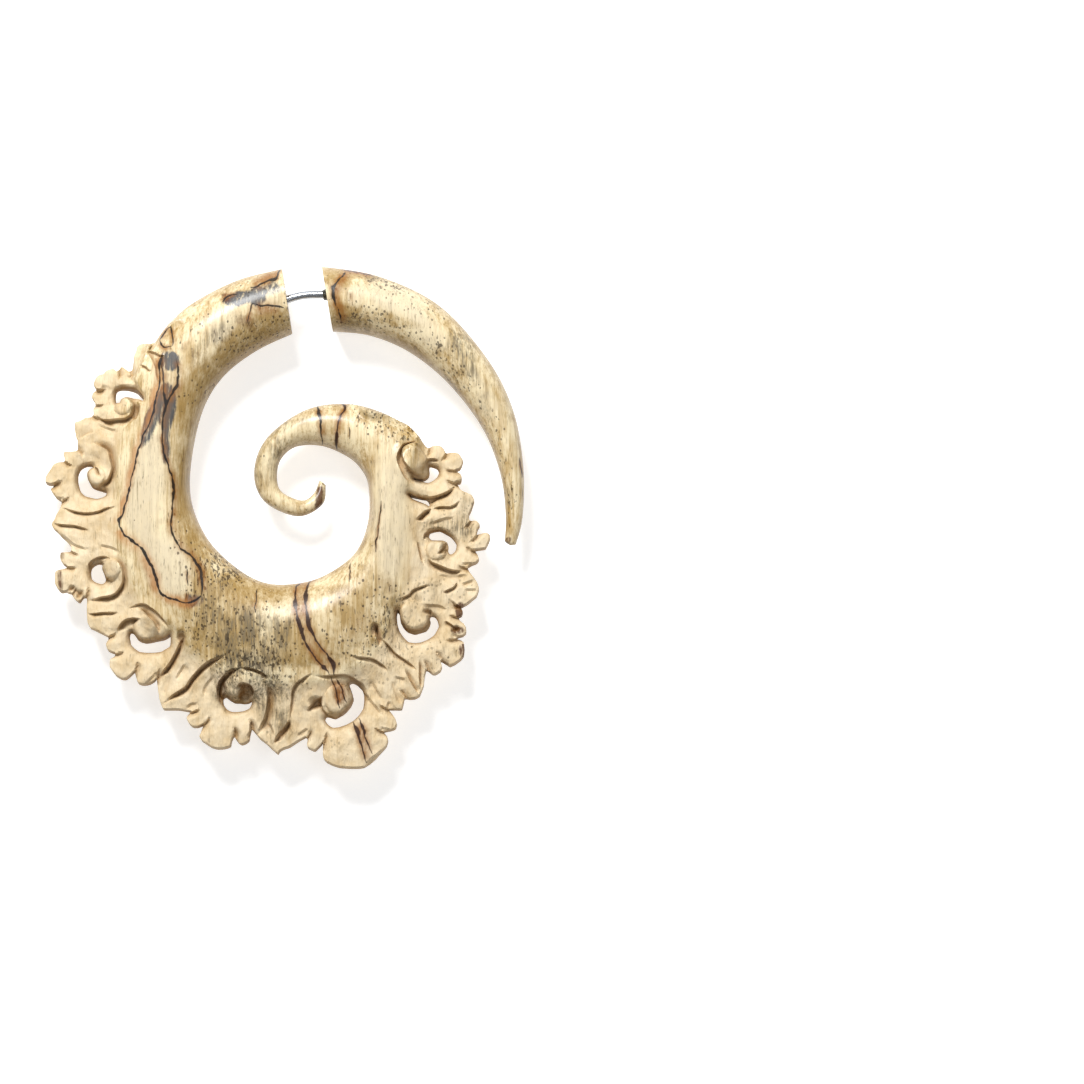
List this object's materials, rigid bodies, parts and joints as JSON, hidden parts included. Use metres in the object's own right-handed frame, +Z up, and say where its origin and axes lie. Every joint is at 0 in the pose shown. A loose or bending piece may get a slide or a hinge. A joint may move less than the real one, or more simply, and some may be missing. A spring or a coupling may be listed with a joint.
{
  "type": "wooden ear hanger",
  "caption": "Carved spiral ear hanger of spalted wood with a pierced scroll-leaf border, a loose tusk arm and a steel post for the lobe.",
  "frame": {"origin": "centre of the hanger's outline, on the plane that it lies on", "axes": "+Z up out of the flat-lying hanger's face, +Y towards the two cut ends and the post, +X towards the tusk"},
  "size_m": [0.06, 0.0634, 0.009],
  "materials": {
    "spiral_wood": "satin",
    "tusk_wood": "satin",
    "steel": "satin",
    "glue": "gloss"
  },
  "bodies": {
    "hanger": {"spiral": "spiral_wood"},
    "arm": {"tusk": "tusk_wood", "post": "steel", "glue_bead": "glue"}
  },
  "joints": [
    {"name": "pull_post", "type": "slide", "parent": "hanger", "child": "arm", "axis": [0.9397, 0.342, 0], "range_m": [0, 0.01]}
  ]
}
